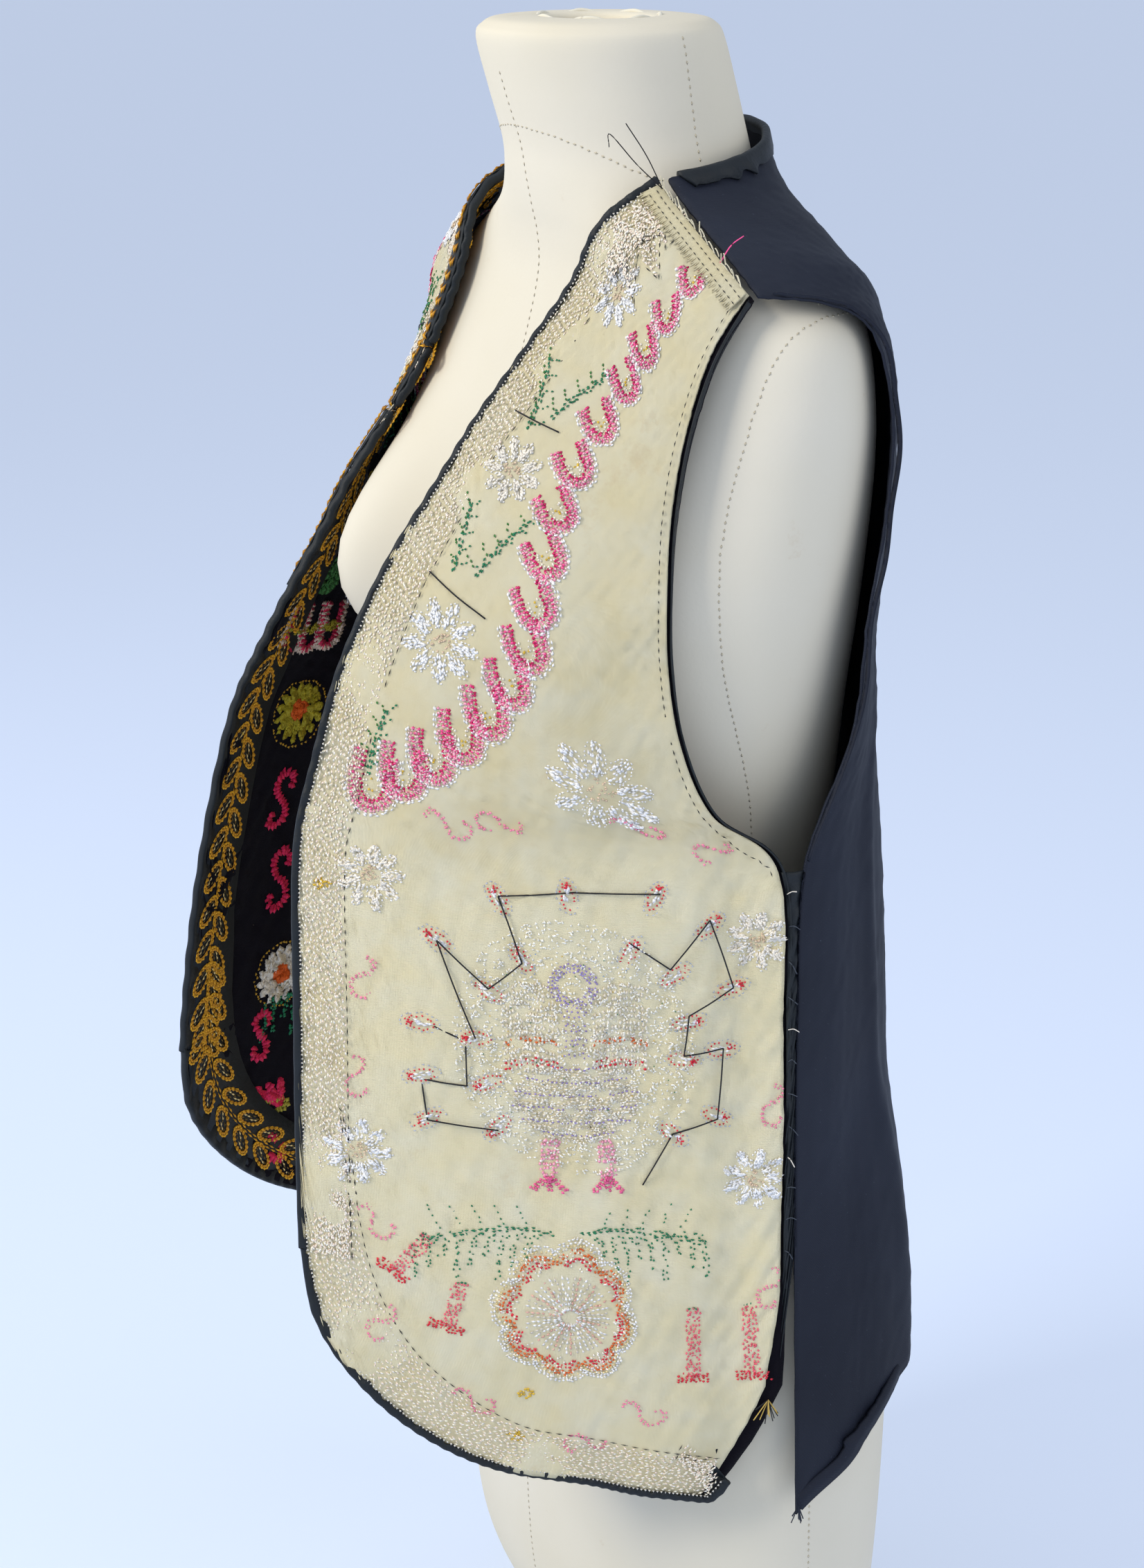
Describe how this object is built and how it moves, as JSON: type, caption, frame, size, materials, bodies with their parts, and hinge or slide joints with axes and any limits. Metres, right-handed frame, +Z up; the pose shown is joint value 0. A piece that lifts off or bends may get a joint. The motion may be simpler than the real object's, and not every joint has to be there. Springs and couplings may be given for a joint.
{
  "type": "embroidered folk vest on dress form",
  "caption": "Open-fronted folk vest worn wrong side out on a limbless ivory dress form, its cream backing showing the reverse of the embroidery and its navy back hanging loose.",
  "frame": {"origin": "middle of the dress form's flat base", "axes": "+Z up; the form faces -Y and its left side is +X"},
  "size_m": [0.344, 0.3636, 0.904],
  "materials": {
    "backing": "matte",
    "velvet": "matte",
    "band": "satin",
    "sateen": "satin",
    "form_cover": "matte"
  },
  "bodies": {
    "root": {"dress_form": "form_cover", "front_left_backing": "backing", "front_right_backing": "backing", "front_left_velvet": "velvet", "front_right_velvet": "velvet", "border_band_left": "band", "border_band_right": "band", "shoulder_allowance_left": "backing", "shoulder_allowance_right": "backing", "back": "sateen", "back_hem": "sateen", "neck_binding": "band", "armhole_hem_left": "sateen", "armhole_hem_right": "sateen", "side_allowance_left": "sateen", "side_allowance_right": "sateen"}
  },
  "joints": []
}
